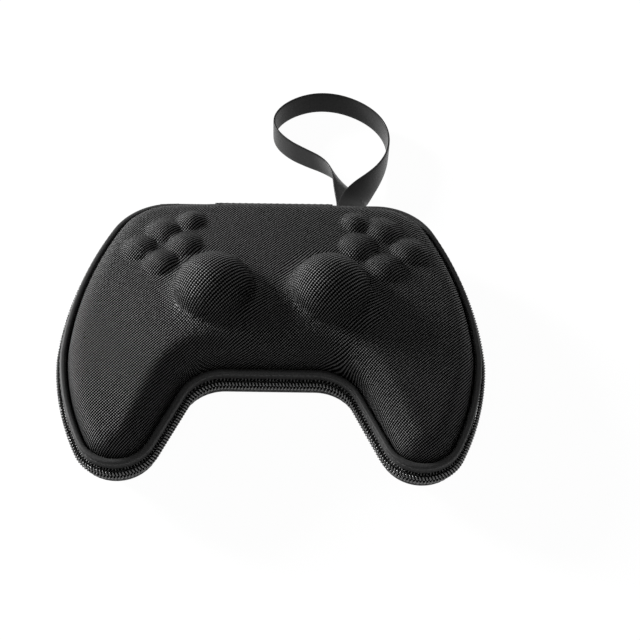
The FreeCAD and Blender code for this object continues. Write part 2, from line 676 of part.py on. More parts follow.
os.makedirs("parts", exist_ok=True)
for name, item in NODES.items():
    item.Shape.exportStep(os.path.join("parts", name + ".step"))
    print(name, len(item.Shape.Solids), round(item.Shape.Volume, 1))
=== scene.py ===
"""Hard zip case for a game controller: its surfaces, fabrics, zipper, strap and light.

Heights of the two shells and of their rims are measured from the zipper's closing line.
"""
import math

import bmesh
import bpy
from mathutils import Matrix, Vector, kdtree
from mathutils.geometry import delaunay_2d_cdt


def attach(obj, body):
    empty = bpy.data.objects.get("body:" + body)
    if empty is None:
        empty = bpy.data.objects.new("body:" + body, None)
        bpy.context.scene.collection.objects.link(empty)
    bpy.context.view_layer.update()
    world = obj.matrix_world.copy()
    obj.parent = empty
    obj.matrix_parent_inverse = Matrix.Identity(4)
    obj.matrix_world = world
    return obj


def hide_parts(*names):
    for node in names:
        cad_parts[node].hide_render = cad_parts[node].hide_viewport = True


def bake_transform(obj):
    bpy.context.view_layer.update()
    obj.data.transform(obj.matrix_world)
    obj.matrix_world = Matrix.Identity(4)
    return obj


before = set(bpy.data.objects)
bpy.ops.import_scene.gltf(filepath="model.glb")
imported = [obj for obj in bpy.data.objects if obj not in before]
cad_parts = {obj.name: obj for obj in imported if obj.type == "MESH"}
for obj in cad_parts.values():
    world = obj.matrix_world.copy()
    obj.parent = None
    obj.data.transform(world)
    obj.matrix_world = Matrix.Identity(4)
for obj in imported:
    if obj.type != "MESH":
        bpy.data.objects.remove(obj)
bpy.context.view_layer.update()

# Camera
# It looks down on the closed case from the front, a hair to its right, through a long lens.
MM = 0.001
closing_height = 20.0
look_down, look_turn = math.radians(54.0), math.radians(1.0)
look_distance = 620.0
aim = Vector((0.0, 0.0, closing_height))
away = Vector((math.sin(look_turn) * math.cos(look_down),
               -math.cos(look_turn) * math.cos(look_down), math.sin(look_down)))
camera_data = bpy.data.cameras.new("camera")
camera_data.lens = 77.95
camera_data.sensor_width = 36.0
camera_data.shift_x = 0.0766
camera_data.shift_y = 0.0469
camera = bpy.data.objects.new("camera", camera_data)
camera.location = (aim + away * look_distance) * MM
camera.rotation_euler = (math.pi / 2 - look_down, 0.0, look_turn)
bpy.context.collection.objects.link(camera)
scene = bpy.context.scene
scene.camera = camera
scene.view_settings.view_transform = "Standard"

# Wrist strap
# One length of satin tape, 13 mm wide, leaves the patch behind the rim, stands on its edge
# round a loose loop and comes back under its own start.
strap_wide, strap_thick, strap_foot = 13.0, 1.1, 37.0
spline_steps, tape_steps, tape_power = 6, 28, 0.3
# Across, back, height, and the tape's turn about its run in degrees
STRAP_ROUTE = [
    (strap_foot, 81.5, 15.4, 0), (strap_foot, 88.5, 15.4, 0), (38.5, 95.0, 14.2, -8),
    (42.0, 102.0, 12.0, -38), (47.0, 110.0, 9.5, -66), (52.5, 119.5, 7.6, -82),
    (56.8, 130.5, 6.5, -90), (58.2, 142.0, 6.5, -90), (55.5, 152.5, 6.5, -90),
    (49.5, 161.0, 6.5, -90), (41.0, 167.5, 6.5, -90), (31.0, 171.5, 6.5, -90),
    (20.5, 172.0, 6.5, -90), (10.5, 168.5, 6.5, -90), (2.5, 162.0, 6.5, -90),
    (-1.6, 153.5, 6.5, -90), (0.5, 144.5, 6.5, -90), (7.0, 137.0, 6.5, -90),
    (15.5, 131.5, 6.5, -92), (24.0, 126.5, 6.8, -98), (30.0, 119.5, 7.6, -110),
    (33.5, 111.0, 9.2, -132), (35.6, 103.0, 11.4, -158), (strap_foot, 95.5, 13.2, -176),
    (strap_foot, 88.5, 14.2, -180), (strap_foot, 81.5, 14.2, -180),
]


def spline_points(places):
    """Points along one smooth spline that has these places as its control points."""
    curve = bpy.data.curves.new("route", "CURVE")
    curve.dimensions = "3D"
    curve.resolution_u = spline_steps
    spline = curve.splines.new("NURBS")
    spline.points.add(len(places) - 1)
    for point, place in zip(spline.points, places):
        point.co = (*place, 1.0)
    spline.order_u = 3
    spline.use_endpoint_u = True
    carrier = bpy.data.objects.new("route", curve)
    bpy.context.collection.objects.link(carrier)
    line = bpy.data.meshes.new_from_object(carrier)
    found = [vertex.co.copy() for vertex in line.vertices]
    bpy.data.objects.remove(carrier)
    bpy.data.curves.remove(curve)
    bpy.data.meshes.remove(line)
    return found


def strap_edges():
    """The tape's middle and one edge, each as control points, from the route and its turns."""
    places = [Vector(point[:3]) for point in STRAP_ROUTE]
    edges = []
    for number, place in enumerate(places):
        before, after = places[max(number - 1, 0)], places[min(number + 1, len(places) - 1)]
        run = (after - before).normalized()
        level = run.cross(Vector((0, 0, 1))).normalized()
        turn = math.radians(STRAP_ROUTE[number][3])
        across = level * math.cos(turn) + level.cross(run) * math.sin(turn)
        edges.append(place + across * strap_wide / 2)
    return places, edges


def squared_ring(count, power):
    """Places round a square with eased corners, as pairs from -1 to 1; a low power is squarer."""
    ring = []
    for step in range(count):
        angle = 2 * math.pi * step / count
        ring.append([math.copysign(abs(part) ** power, part)
                     for part in (math.cos(angle), math.sin(angle))])
    return ring


def tube_faces(rings, sides):
    """Faces round a row of rings of points, with both ends closed."""
    faces = []
    for number in range(rings - 1):
        for side in range(sides):
            one, two = number * sides + side, number * sides + (side + 1) % sides
            faces.append((one, two, two + sides, one + sides))
    faces.append(tuple(range(sides)))
    faces.append(tuple(range((rings - 1) * sides, rings * sides)))
    return faces


def make_piece(name, points, faces, materials, cloth=None, inner=()):
    """Mesh object; cloth gives each point's place on the flat cloth, inner faces take slot 1."""
    mesh = bpy.data.meshes.new(name)
    mesh.from_pydata([Vector(point) * MM for point in points], [], faces)
    for number in inner:
        mesh.polygons[number].material_index = 1
    if cloth:
        layer = mesh.uv_layers.new(name="cloth")
        for loop in mesh.loops:
            spot = cloth[loop.vertex_index]
            layer.data[loop.index].uv = (spot[0] * MM, spot[1] * MM)
    shape = bmesh.new()
    shape.from_mesh(mesh)
    bmesh.ops.recalc_face_normals(shape, faces=shape.faces)
    shape.to_mesh(mesh)
    shape.free()
    mesh.shade_smooth()
    for material in materials:
        mesh.materials.append(material)
    piece = bpy.data.objects.new(name, mesh)
    bpy.context.collection.objects.link(piece)
    return piece


def settle(piece, body, slot, *nodes):
    """The piece rides on a body and stands for its nodes, which are hidden; the slot is not used.
    """
    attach(piece, body)
    if nodes:
        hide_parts(*nodes)


def add_node(tree, kind, links=(), **values):
    """Shader node with settings, input values by name, and links as (socket, input name)."""
    node = tree.nodes.new("ShaderNode" + kind)
    for name, value in values.items():
        if hasattr(node, name):
            setattr(node, name, value)
        else:
            node.inputs[name.replace("_", " ")].default_value = value
    for socket, name in links:
        tree.links.new(socket, node.inputs[name])
    return node


def plain_material(name, roughness, **values):
    """Principled material; returns it with its tree and its shader."""
    material = bpy.data.materials.new(name)
    material.use_nodes = True
    shader = material.node_tree.nodes["Principled BSDF"]
    shader.inputs["Roughness"].default_value = roughness
    for key, value in values.items():
        shader.inputs[key.replace("_", " ")].default_value = value
    return material, material.node_tree, shader


def waves(tree, source, pitch, turn, wobble):
    """Bands across the cloth, one for each pitch in millimetres, turned in its plane."""
    turned = add_node(tree, "Mapping", [(source, "Vector")],
                      Rotation=(0.0, 0.0, math.radians(turn)))
    wave_period = math.pi / 10
    return add_node(tree, "TexWave", [(turned.outputs["Vector"], "Vector")],
                    Scale=wave_period / (pitch * MM), Distortion=wobble, Detail=1.0,
                    Detail_Scale=0.6).outputs["Fac"]


def blend_values(tree, first, second, share):
    """Mix of two numbers; share is how much of the second."""
    return add_node(tree, "Mix", [(first, "A"), (second, "B")], Factor=share).outputs["Result"]


def paint(tree, shader, value, stops, part="Base Color"):
    """A number sets one part of the shader, through a ramp with (place, grey) stops."""
    ramp = add_node(tree, "ValToRGB", [(value, "Fac")])
    while len(ramp.color_ramp.elements) < len(stops):
        ramp.color_ramp.elements.new(1.0)
    for element, (place, grey) in zip(ramp.color_ramp.elements, stops):
        element.position = place
        element.color = (grey, grey, grey, 1.0)
    tree.links.new(ramp.outputs["Color"], shader.inputs[part])


def emboss(tree, shader, height, strength, depth):
    """Fine relief from a number, its depth in millimetres."""
    bump = add_node(tree, "Bump", [(height, "Height")], Strength=strength, Distance=depth * MM)
    tree.links.new(bump.outputs["Normal"], shader.inputs["Normal"])


strap_satin, tree, shader = plain_material("strap_satin", 0.34, Specular_IOR_Level=0.13,
                                           Sheen_Weight=0.06, Sheen_Roughness=0.4)
place = add_node(tree, "UVMap", uv_map="cloth").outputs["UV"]
warp = waves(tree, place, 0.55, 90.0, 0.3)
weft = waves(tree, place, 0.8, 0.0, 0.6)
weave = blend_values(tree, warp, weft, 0.35)
paint(tree, shader, weave, [(0.1, 0.005), (0.9, 0.02)])
emboss(tree, shader, weave, 0.35, 0.08)

middle, edge = (spline_points(line) for line in strap_edges())
tape_ring = squared_ring(tape_steps, tape_power)
points, cloth, along = [], [], 0.0
for number, (place, rim) in enumerate(zip(middle, edge)):
    before, after = middle[max(number - 1, 0)], middle[min(number + 1, len(middle) - 1)]
    along += (place - before).length
    across = (rim - place).normalized()
    normal = (after - before).normalized().cross(across)
    for wide, deep in tape_ring:
        points.append(place + across * wide * strap_wide / 2 + normal * deep * strap_thick / 2)
        cloth.append((along, wide * strap_wide / 2))
wrist_strap = make_piece("wrist_strap_tape", points, tube_faces(len(middle), tape_steps),
                         [strap_satin], cloth)
settle(wrist_strap, "base", "strap_fabric", "wrist_strap")

# Upper shell
# Woven nylon, foam and a knitted lining are pressed hot into one moulded shell, with a high
# dome over each thumbstick and low pillows over the buttons.
half_width, rear_edge, grip_front, arch_front = 95.0, 82.8, 67.2, 20.4
rear_flat_half, corner_radius, flank_radius = 48.5, 32.0, 171.0
side_radius, side_ahead, link_radius = 45.0, 7.8, 121.0
tip_radius, tip_across, arch_radius, arch_flat_half = 20.0, 64.8, 17.0, 19.6
shell_inset, wall, lip_gap = 5.0, 4.0, 2.0
upper_rise, upper_lean, upper_round = 24.1, math.radians(11.0), 11.9
crown_radius, crown_back = 427.0, 5.5
crown_center = Vector((0.0, crown_back, upper_rise - crown_radius))


def enclosing_center(center_a, radius_a, center_b, radius_b, radius):
    """Centre of the large arc that touches two smaller ones from outside, on their right."""
    span = center_b - center_a
    far_a, far_b = radius - radius_a, radius - radius_b
    along = (far_a ** 2 - far_b ** 2 + span.length_squared) / (2 * span.length)
    aside = math.sqrt(far_a ** 2 - along ** 2)
    unit = span.normalized()
    return center_a + unit * along + Vector((unit.y, -unit.x)) * aside


def heading(center, point):
    """Angle of the line from a centre to a point."""
    return math.atan2(point.y - center.y, point.x - center.x)


def half_outline():
    """Right half of the zipper's outer line, rear to front, as arcs and straight runs."""
    corner = Vector((rear_flat_half, rear_edge - corner_radius))
    side = Vector((half_width - side_radius, -side_ahead))
    tip = Vector((tip_across, tip_radius - grip_front))
    arch = Vector((arch_flat_half, -arch_front - arch_radius))
    flank = enclosing_center(corner, corner_radius, side, side_radius, flank_radius)
    link = enclosing_center(side, side_radius, tip, tip_radius, link_radius)
    across = arch - tip
    spread = math.acos((tip_radius + arch_radius) / across.length)
    inner = math.atan2(across.y, across.x) + spread - 2 * math.pi
    inward = Vector((math.cos(inner), math.sin(inner)))
    return [
        ("line", Vector((0.0, rear_edge)), Vector((rear_flat_half, rear_edge))),
        ("arc", corner, corner_radius, math.pi / 2, heading(flank, corner)),
        ("arc", flank, flank_radius, heading(flank, corner), heading(flank, side)),
        ("arc", side, side_radius, heading(flank, side), heading(link, side)),
        ("arc", link, link_radius, heading(link, side), heading(link, tip)),
        ("arc", tip, tip_radius, heading(link, tip), inner),
        ("line", tip + inward * tip_radius, arch - inward * arch_radius),
        ("arc", arch, -arch_radius, inner, -math.pi / 2),
        ("line", Vector((arch_flat_half, -arch_front)), Vector((0.0, -arch_front))),
    ]


def run_length(run):
    """Length of one arc or straight run."""
    return (run[2] - run[1]).length if run[0] == "line" else abs(run[2] * (run[4] - run[3]))


def run_point(run, share):
    """Place and outward direction at a share of one arc or straight run."""
    if run[0] == "line":
        unit = (run[2] - run[1]).normalized()
        return run[1].lerp(run[2], share), Vector((-unit.y, unit.x))
    turn = run[3] + (run[4] - run[3]) * share
    spoke = Vector((math.cos(turn), math.sin(turn)))
    return run[1] + spoke * run[2], spoke


HALF_RUNS = half_outline()
half_length = sum(run_length(run) for run in HALF_RUNS)


def on_outline(distance):
    """Place and outward direction, clockwise seen from above from the middle of the rear."""
    distance %= 2 * half_length
    mirrored = distance > half_length
    rest = 2 * half_length - distance if mirrored else distance
    for run in HALF_RUNS[:-1]:
        if rest <= run_length(run):
            break
        rest -= run_length(run)
    else:
        run = HALF_RUNS[-1]
    place, out = run_point(run, min(rest / run_length(run), 1.0))
    return (Vector((-place.x, place.y)), Vector((-out.x, out.y))) if mirrored else (place, out)


def rim_point(place, out, inset, height):
    """Point at a height, inset from a place on the outline."""
    return Vector((*(place - out * inset), height))


outline_step = 0.95
outline_count = round(2 * half_length / outline_step)
OUTLINE = [on_outline(2 * half_length * number / outline_count)
           for number in range(outline_count)]

dome_across, dome_back, dome_radius, dome_rise = 26.0, 15.9, 17.8, 16.2
skirt_radius, skirt_rise, skirt_fillet, sunk_slope = 24.5, 4.6, 3.0, 2.0
group_across, group_back = 50.6, 43.7
cross_reach, cross_radius = 10.4, 8.4
diamond_reach, diamond_radius = 11.8, 9.2
small_across, small_back, small_radius = 38.0, 59.4, 6.9
pillow_rise, pillow_power = 3.4, 1.15
# Steps up the wall and over the shoulder, and rounds that settle the shoulder's inset
wall_steps, round_steps, reach_rounds = 3, 9, 5
# Spacing of the mesh on the crown, where the foot of each dome and pillow has rings of its own
net_step, ring_step, fewest_spots, pillow_foot = 1.8, 1.5, 8, 0.5
FOOT_SHARES = (0.3, 0.65, 1.0)
# Triangles are kept inside the ring, and points nearer than the gap are one
inside_only, point_gap = 1, 1e-6
DOMES = [Vector((side * dome_across, dome_back)) for side in (-1, 1)]
PILLOWS = []
for side, reach, radius in ((-1, cross_reach, cross_radius), (1, diamond_reach, diamond_radius)):
    for right, back in ((0, 1), (0, -1), (1, 0), (-1, 0)):
        PILLOWS.append((Vector((side * (group_across + right * reach),
                                group_back + back * reach)), radius))
    PILLOWS.append((Vector((side * small_across, small_back)), small_radius))


def soft_max(first, second, width):
    """Larger of two heights, with a fillet where they meet."""
    return max(first, second) + max(width - abs(first - second), 0.0) ** 2 / (4 * width)


def cap_height(distance, radius, rise):
    """Half ellipse that goes on below the ground outside its foot."""
    if distance < radius:
        return rise * math.sqrt(1 - (distance / radius) ** 2)
    return (radius - distance) * sunk_slope


def dome_height(distance, radius, rise):
    """Dome with its soft foot."""
    skirt = max(1 - (distance / skirt_radius) ** 2, 0.0) ** 2 * skirt_rise
    return soft_max(cap_height(distance, radius, rise), skirt, skirt_fillet)


def outside_relief(x, y):
    """Height of the domes and pillows above the crown, outside."""
    spot = Vector((x, y))
    height = 0.0
    for center in DOMES:
        distance = (spot - center).length
        if distance < skirt_radius:
            height = max(height, dome_height(distance, dome_radius, dome_rise))
    for center, radius in PILLOWS:
        share = 1 - (spot - center).length_squared / radius ** 2
        if share > 0.0:
            height = max(height, 0.0) + pillow_rise * share ** pillow_power
    return height


def inside_relief(x, y):
    """Hollow of the domes above the inner crown."""
    spot = Vector((x, y))
    return max(max(cap_height((spot - center).length, dome_radius - wall, dome_rise - wall), 0.0)
               for center in DOMES)


def profile_girth():
    """Length along a dome's profile at even steps of the plan, out to the calm cloth."""
    girth = [0.0]
    before = dome_height(0.0, dome_radius, dome_rise)
    for step in range(1, girth_steps + 1):
        distance = calm_radius * step / girth_steps
        height = max(dome_height(distance, dome_radius, dome_rise), 0.0)
        girth.append(girth[-1] + math.hypot(calm_radius / girth_steps, height - before))
        before = height
    return girth


calm_radius, girth_steps = 25.8, 120
GIRTH = profile_girth()


def cloth_spot(spot):
    """Place on the flat cloth; it is drawn evenly over each dome when it is moulded."""
    for center in DOMES:
        away = spot - center
        if 0.0 < away.length < calm_radius:
            step = away.length / calm_radius * girth_steps
            low = min(int(step), girth_steps - 1)
            girth = GIRTH[low] + (GIRTH[low + 1] - GIRTH[low]) * (step - low)
            return center + away.normalized() * (girth / GIRTH[-1] * calm_radius)
    return spot


def crown_height(x, y, radius):
    """Height of the shell's gently domed top."""
    return crown_center.z + math.sqrt(radius ** 2 - x ** 2 - (y - crown_back) ** 2)


def shell_columns(inset, ball, radius, relief):
    """Points up the wall and over the shoulder, one column for each point of the outline."""
    lean_cos, lean_sin, lean_tan = math.cos(upper_lean), math.sin(upper_lean), math.tan(upper_lean)
    columns = []
    for place, out in OUTLINE:
        reach = inset + ball / lean_cos
        for _ in range(reach_rounds):
            spot = place - out * reach
            rise = crown_height(spot.x, spot.y, radius - ball)
            reach = inset + (rise - lip_gap) * lean_tan + ball / lean_cos
        center = Vector((spot.x, spot.y, rise))
        top_way = (center - crown_center).normalized()
        wall_way = Vector((out.x * lean_cos, out.y * lean_cos, lean_sin))
        foot = rim_point(place, out, inset, lip_gap)
        wall_top = center + wall_way * ball
        column = [foot.lerp(wall_top, step / wall_steps) for step in range(wall_steps)]
        for step in range(round_steps + 1):
            point = center + wall_way.slerp(top_way, step / round_steps) * ball
            point.z += relief(point.x, point.y) * math.sin(math.pi / 2 * step / round_steps)
            column.append(point)
        cloth = [cloth_spot(column[-1].xy)]
        for upper, lower in zip(column[:0:-1], column[-2::-1]):
            cloth.append(cloth[-1] + out * (upper - lower).length)
        columns.append((column, cloth[::-1]))
    return columns


def column_faces(tall):
    """Faces between neighbouring columns of points, round the whole outline."""
    faces = []
    for number in range(outline_count):
        start, after = number * tall, (number + 1) % outline_count * tall
        faces += [(start + step, after + step, after + step + 1, start + step + 1)
                  for step in range(tall - 1)]
    return faces


def ring_test(ring):
    """Function that says whether a place lies inside the ring by more than a margin."""
    tree = kdtree.KDTree(len(ring))
    for number, point in enumerate(ring):
        tree.insert((point.x, point.y, 0.0), number)
    tree.balance()

    def inside(spot, margin=0.0):
        near, number, gap = tree.find((spot.x, spot.y, 0.0))
        return gap >= margin and (spot - near.xy).dot(OUTLINE[number][1]) < 0

    return inside


def crown_spots(within, dome, pillows):
    """Places inside the last ring: an even net, with rings round each dome and pillow."""
    features = [(center, dome, skirt_radius) for center in DOMES]
    features += [(center, radius - pillow_foot, radius) for center, radius in pillows]
    spots = []
    for center, radius, outer in features:
        spots.append(center.copy())
        turns = round(radius)
        reaches = [radius * math.sin(math.pi / 2 * turn / turns) for turn in range(1, turns + 1)]
        reaches += [radius + (outer - radius) * share for share in FOOT_SHARES]
        for number, reach in enumerate(reaches):
            count = max(fewest_spots, round(2 * math.pi * reach / ring_step))
            for turn in range(count):
                angle = 2 * math.pi * (turn + number % 2 / 2) / count
                spot = center + Vector((math.cos(angle), math.sin(angle))) * reach
                if all((spot - other).length / edge >= reach / outer
                       for other, _, edge in features if other is not center):
                    spots.append(spot)
    rows = int(2 * half_width / net_step)
    for row in range(-rows, rows):
        for step in range(-rows, rows):
            spot = Vector((net_step * (step + row % 2 / 2), net_step * row * math.sqrt(0.75)))
            if abs(spot.x) < half_width and -grip_front < spot.y < rear_edge \
                    and all((spot - center).length > outer + net_step / 2
                            for center, _, outer in features):
                spots.append(spot)
    return [spot for spot in spots if within(spot, net_step / 2)]


def upper_skin(inset, ball, radius, relief, dome, pillows):
    """One face of the upper shell: points, places on the cloth, faces and the foot's row."""
    columns = shell_columns(inset, ball, radius, relief)
    tall = len(columns[0][0])
    points = [point for column, _ in columns for point in column]
    cloth = [spot for _, flat in columns for spot in flat]
    faces = column_faces(tall)
    ring = [column[-1] for column, _ in columns]
    within = ring_test(ring)
    spots = crown_spots(within, dome, pillows)
    flat = [point.xy for point in ring] + spots
    result = delaunay_2d_cdt(flat, [], [list(range(outline_count))[::-1]], inside_only,
                             point_gap, True)
    index = {}
    for number, sources in enumerate(result[3]):
        source = sources[0]
        index[number] = source * tall + tall - 1 if source < outline_count \
            else len(columns) * tall + source - outline_count
    for spot in spots:
        height = crown_height(spot.x, spot.y, radius) + relief(spot.x, spot.y)
        points.append(Vector((spot.x, spot.y, height)))
        cloth.append(cloth_spot(spot))
    for face in result[2]:
        center = sum((result[0][corner] for corner in face), Vector((0.0, 0.0))) / len(face)
        if within(center):
            faces.append(tuple(index[corner] for corner in face))
    return points, cloth, faces, [number * tall for number in range(outline_count)]


def woven_nylon(name, coordinates):
    """Coarse nylon twill: bright dashes on the diagonal over nearly black gaps."""
    material, tree, shader = plain_material(name, 0.42, Sheen_Weight=0.03, Sheen_Roughness=0.3)
    place = coordinates(tree)
    diagonal = waves(tree, place, 1.08, 45.0, 0.6)
    crossing = waves(tree, place, 0.85, -44.0, 0.9)
    weave = blend_values(tree, diagonal, crossing, 0.38)
    grain = add_node(tree, "TexNoise", [(place, "Vector")], Scale=1100.0, Detail=2.0)
    weave = blend_values(tree, weave, grain.outputs["Fac"], 0.22)
    paint(tree, shader, weave, [(0.45, 0.001), (0.57, 0.003), (0.73, 0.1)])
    paint(tree, shader, weave, [(0.5, 0.0), (0.74, 0.3)], "Specular IOR Level")
    emboss(tree, shader, weave, 1.0, 0.4)
    return material


def cloth_place(tree):
    """Place on the flat cloth."""
    return add_node(tree, "UVMap", uv_map="cloth").outputs["UV"]


def body_place(tree):
    """Place in the piece itself."""
    return add_node(tree, "TexCoord").outputs["Object"]


def knit_lining():
    """Brushed knit with fine ribs."""
    material, tree, shader = plain_material("knit_lining", 0.9, Specular_IOR_Level=0.2,
                                            Sheen_Weight=0.3, Sheen_Roughness=0.5)
    place = cloth_place(tree)
    ribs = waves(tree, place, 1.4, 0.0, 1.2)
    fuzz = add_node(tree, "TexNoise", [(place, "Vector")], Scale=1500.0, Detail=4.0)
    pile = blend_values(tree, ribs, fuzz.outputs["Fac"], 0.5)
    paint(tree, shader, pile, [(0.3, 0.01), (0.7, 0.06)])
    emboss(tree, shader, pile, 0.6, 0.3)
    return material


nylon = woven_nylon("shell_nylon", cloth_place)
lining = knit_lining()


def join_skins(outer, inner, height):
    """Two skins joined by the lip between their feet, at a height; inner faces are listed."""
    points, cloth, faces, foot = outer
    points, cloth, faces = list(points), list(cloth), list(faces)
    shift = len(points)
    outer_faces = len(faces)
    points += inner[0]
    cloth += inner[1]
    faces += [tuple(number + shift for number in face) for face in inner[2]]
    inner_foot = [number + shift for number in inner[3]]
    for number in range(outline_count):
        after = (number + 1) % outline_count
        faces.append((foot[number], foot[after], inner_foot[after], inner_foot[number]))
    lifted = [Vector((point.x, point.y, point.z + height)) for point in points]
    return lifted, cloth, faces, range(outer_faces, len(faces))


outside = upper_skin(shell_inset, upper_round, crown_radius, outside_relief, dome_radius, PILLOWS)
inside = upper_skin(shell_inset + wall, upper_round - wall, crown_radius - wall, inside_relief,
                    dome_radius - wall, [])
points, cloth, faces, inner = join_skins(outside, inside, closing_height)
upper_shell = make_piece("upper_shell_cloth", points, faces, [nylon, lining], cloth, inner)
settle(upper_shell, "lid", "shell_fabric", "upper_shell")

# Lower shell
# It is moulded like the upper one, with plain leaning walls and a flat floor to rest on.
lower_lean, lower_round, lower_inner_round = math.radians(19.0), 4.5, 2.5
lower_wall_steps, lower_round_steps = 6, 6


def lower_skin(inset, rounding, floor):
    """One face of the lower shell, from its lip down to the flat floor."""
    ball_height = floor + rounding
    run = -lip_gap - ball_height
    ball_inset = inset + run * math.tan(lower_lean) + rounding / math.cos(lower_lean)
    profile = []
    for step in range(lower_round_steps + 1):
        angle = lower_lean + (math.pi / 2 - lower_lean) * step / lower_round_steps
        profile.append((ball_inset - rounding * math.cos(angle),
                        ball_height - rounding * math.sin(angle)))
    foot_reach, foot_height = profile[0]
    shares = [step / lower_wall_steps for step in range(lower_wall_steps)]
    profile = [(inset + (foot_reach - inset) * share,
                -lip_gap + (foot_height + lip_gap) * share) for share in shares] + profile
    points, cloth = [], []
    for place, out in OUTLINE:
        base = place - out * profile[-1][0]
        for row, (reach, height) in enumerate(profile):
            points.append(rim_point(place, out, reach, height))
            down = sum(math.dist(one, two) for one, two in zip(profile[row:], profile[row + 1:]))
            cloth.append(base + out * down)
    tall = len(profile)
    faces = column_faces(tall)
    faces.append(tuple(number * tall + tall - 1 for number in range(outline_count)))
    return points, cloth, faces, [number * tall for number in range(outline_count)]


outside = lower_skin(shell_inset, lower_round, -closing_height)
inside = lower_skin(shell_inset + wall / math.cos(lower_lean), lower_inner_round,
                    wall - closing_height)
points, cloth, faces, inner = join_skins(outside, inside, closing_height)
lower_shell = make_piece("lower_shell_cloth", points, faces, [nylon, lining], cloth, inner)
settle(lower_shell, "base", "shell_fabric", "lower_shell")

# Bindings
# A bias-cut tape is rolled over the raw edge of each shell and the zipper tape, and sewn down
# with one line of lockstitch.
band_outer, band_inner, band_low, band_high = 2.15, shell_inset, 2.7, 7.6
band_steps, band_power = 22, 0.62
LEVELS = [("upper", "lid", 1), ("lower", "base", -1)]


def rim_ring(profile):
    """A closed section, as (inset, height) pairs, run once round the outline."""
    points, cloth, faces = [], [], []
    count = len(profile)
    girth = [0.0]
    for one, two in zip(profile, profile[1:]):
        girth.append(girth[-1] + math.dist(one, two))
    for number, (place, out) in enumerate(OUTLINE):
        for (reach, height), around in zip(profile, girth):
            points.append(rim_point(place, out, reach, height))
            cloth.append((number * outline_step, around))
    for number in range(outline_count):
        start, after = number * count, (number + 1) % outline_count * count
        for step in range(count):
            turn = (step + 1) % count
            faces.append((start + step, after + step, after + turn, start + turn))
    return points, cloth, faces


def binding_cloth():
    """Fine bias-cut tape, slightly shiny."""
    material, tree, shader = plain_material("binding_cloth", 0.5, Specular_IOR_Level=0.16,
                                            Sheen_Weight=0.04, Sheen_Roughness=0.4)
    place = cloth_place(tree)
    threads = blend_values(tree, waves(tree, place, 0.5, 45.0, 1.0),
                           waves(tree, place, 0.5, -45.0, 1.0), 0.5)
    puckers = add_node(tree, "TexNoise", [(place, "Vector")], Scale=1500.0, Detail=3.0)
    relief = blend_values(tree, threads, puckers.outputs["Fac"], 0.6)
    paint(tree, shader, relief, [(0.38, 0.004), (0.66, 0.05)])
    emboss(tree, shader, relief, 0.5, 0.25)
    return material


binding_tape = binding_cloth()
band_profile = [((band_outer + band_inner) / 2 - aside * (band_inner - band_outer) / 2,
                 (band_low + band_high) / 2 + upward * (band_high - band_low) / 2)
                for aside, upward in squared_ring(band_steps, band_power)]
for level, body, way in LEVELS:
    points, cloth, faces = rim_ring([(reach, closing_height + way * height)
                                     for reach, height in band_profile])
    binding = make_piece(f"{level}_binding_tape", points, faces, [binding_tape], cloth)
    settle(binding, body, "binding_fabric", f"{level}_binding")

# Zipper tapes
# Narrow woven tape carries each coil row; only its slanted strip shows, beside the binding. Its
# tails run on behind the hinge strip.
tape_thick, tape_in, tape_out, tail_end = 0.8, 2.0, 5.0, 26.0
TAPE_SECTION = [
    (tape_out, 6.8), (tape_out - tape_thick, 6.8), (tape_out - tape_thick, 3.5), (tape_in, 2.2),
    (tape_in, 0.4), (tape_in + tape_thick, 0.4), (tape_in + tape_thick, 1.6), (tape_out, 2.9),
]


def run_strip(section, start, end):
    """A closed section, as (inset, height) pairs, along an open run of the outline."""
    rows = round((end - start) / outline_step)
    points, cloth = [], []
    for row in range(rows + 1):
        along = start + (end - start) * row / rows
        place, out = on_outline(along)
        for reach, height in section:
            points.append(rim_point(place, out, reach, height))
            cloth.append((along, height - reach))
    return points, cloth, tube_faces(rows + 1, len(section))


tape_nylon = woven_nylon("tape_nylon", cloth_place)
for level, body, way in LEVELS:
    section = [(reach, closing_height + way * height) for reach, height in TAPE_SECTION]
    points, cloth, faces = run_strip(section, tail_end, 2 * half_length - tail_end)
    tape = make_piece(f"{level}_zip_tape_strip", points, faces, [tape_nylon], cloth)
    for face in tape.data.polygons:
        face.use_smooth = False
    settle(tape, body, "zip_fabric", f"{level}_zip_tape")

# Zipper coils
# Each row is one nylon monofilament wound round a cord; the rows are half a turn apart, with a
# narrow gap between them that the slider's wedge runs in.
coil_pitch, wire_radius, wire_sides, turn_steps = 1.47, 0.4, 6, 14
coil_deep, coil_low, coil_high = 2.0, 0.28, 2.4
core_radius, core_step = 0.55, 1.5
chain_left, chain_right_turn = 43.5, 11.0
chain_start = rear_flat_half + corner_radius * math.radians(chain_right_turn)
chain_end = 2 * half_length - chain_left


def coil_plastic():
    """Dark nylon with a satin gloss; its colour is painted paler on the crests of the turns as a
    painted highlight, with random tone from noise.
    """
    material, tree, shader = plain_material("coil_nylon", 0.22, Specular_IOR_Level=0.9)
    place = body_place(tree)
    # Painted highlight: the turns' crests, found by their pointiness, are painted paler to stand
    # in for glints of light on the coil.
    painted_crest_highlight = add_node(tree, "NewGeometry").outputs["Pointiness"]
    cloud = add_node(tree, "TexNoise", [(place, "Vector")], Scale=400.0, Detail=3.0)
    wear_and_highlight = blend_values(tree, painted_crest_highlight, cloud.outputs["Fac"], 0.35)
    # Base colour: dark nylon, with a painted highlight on the crests and random tone from the
    # noise.
    paint(tree, shader, wear_and_highlight, [(0.45, 0.006), (0.58, 0.04)])
    emboss(tree, shader, cloud.outputs["Fac"], 0.2, 0.05)
    return material


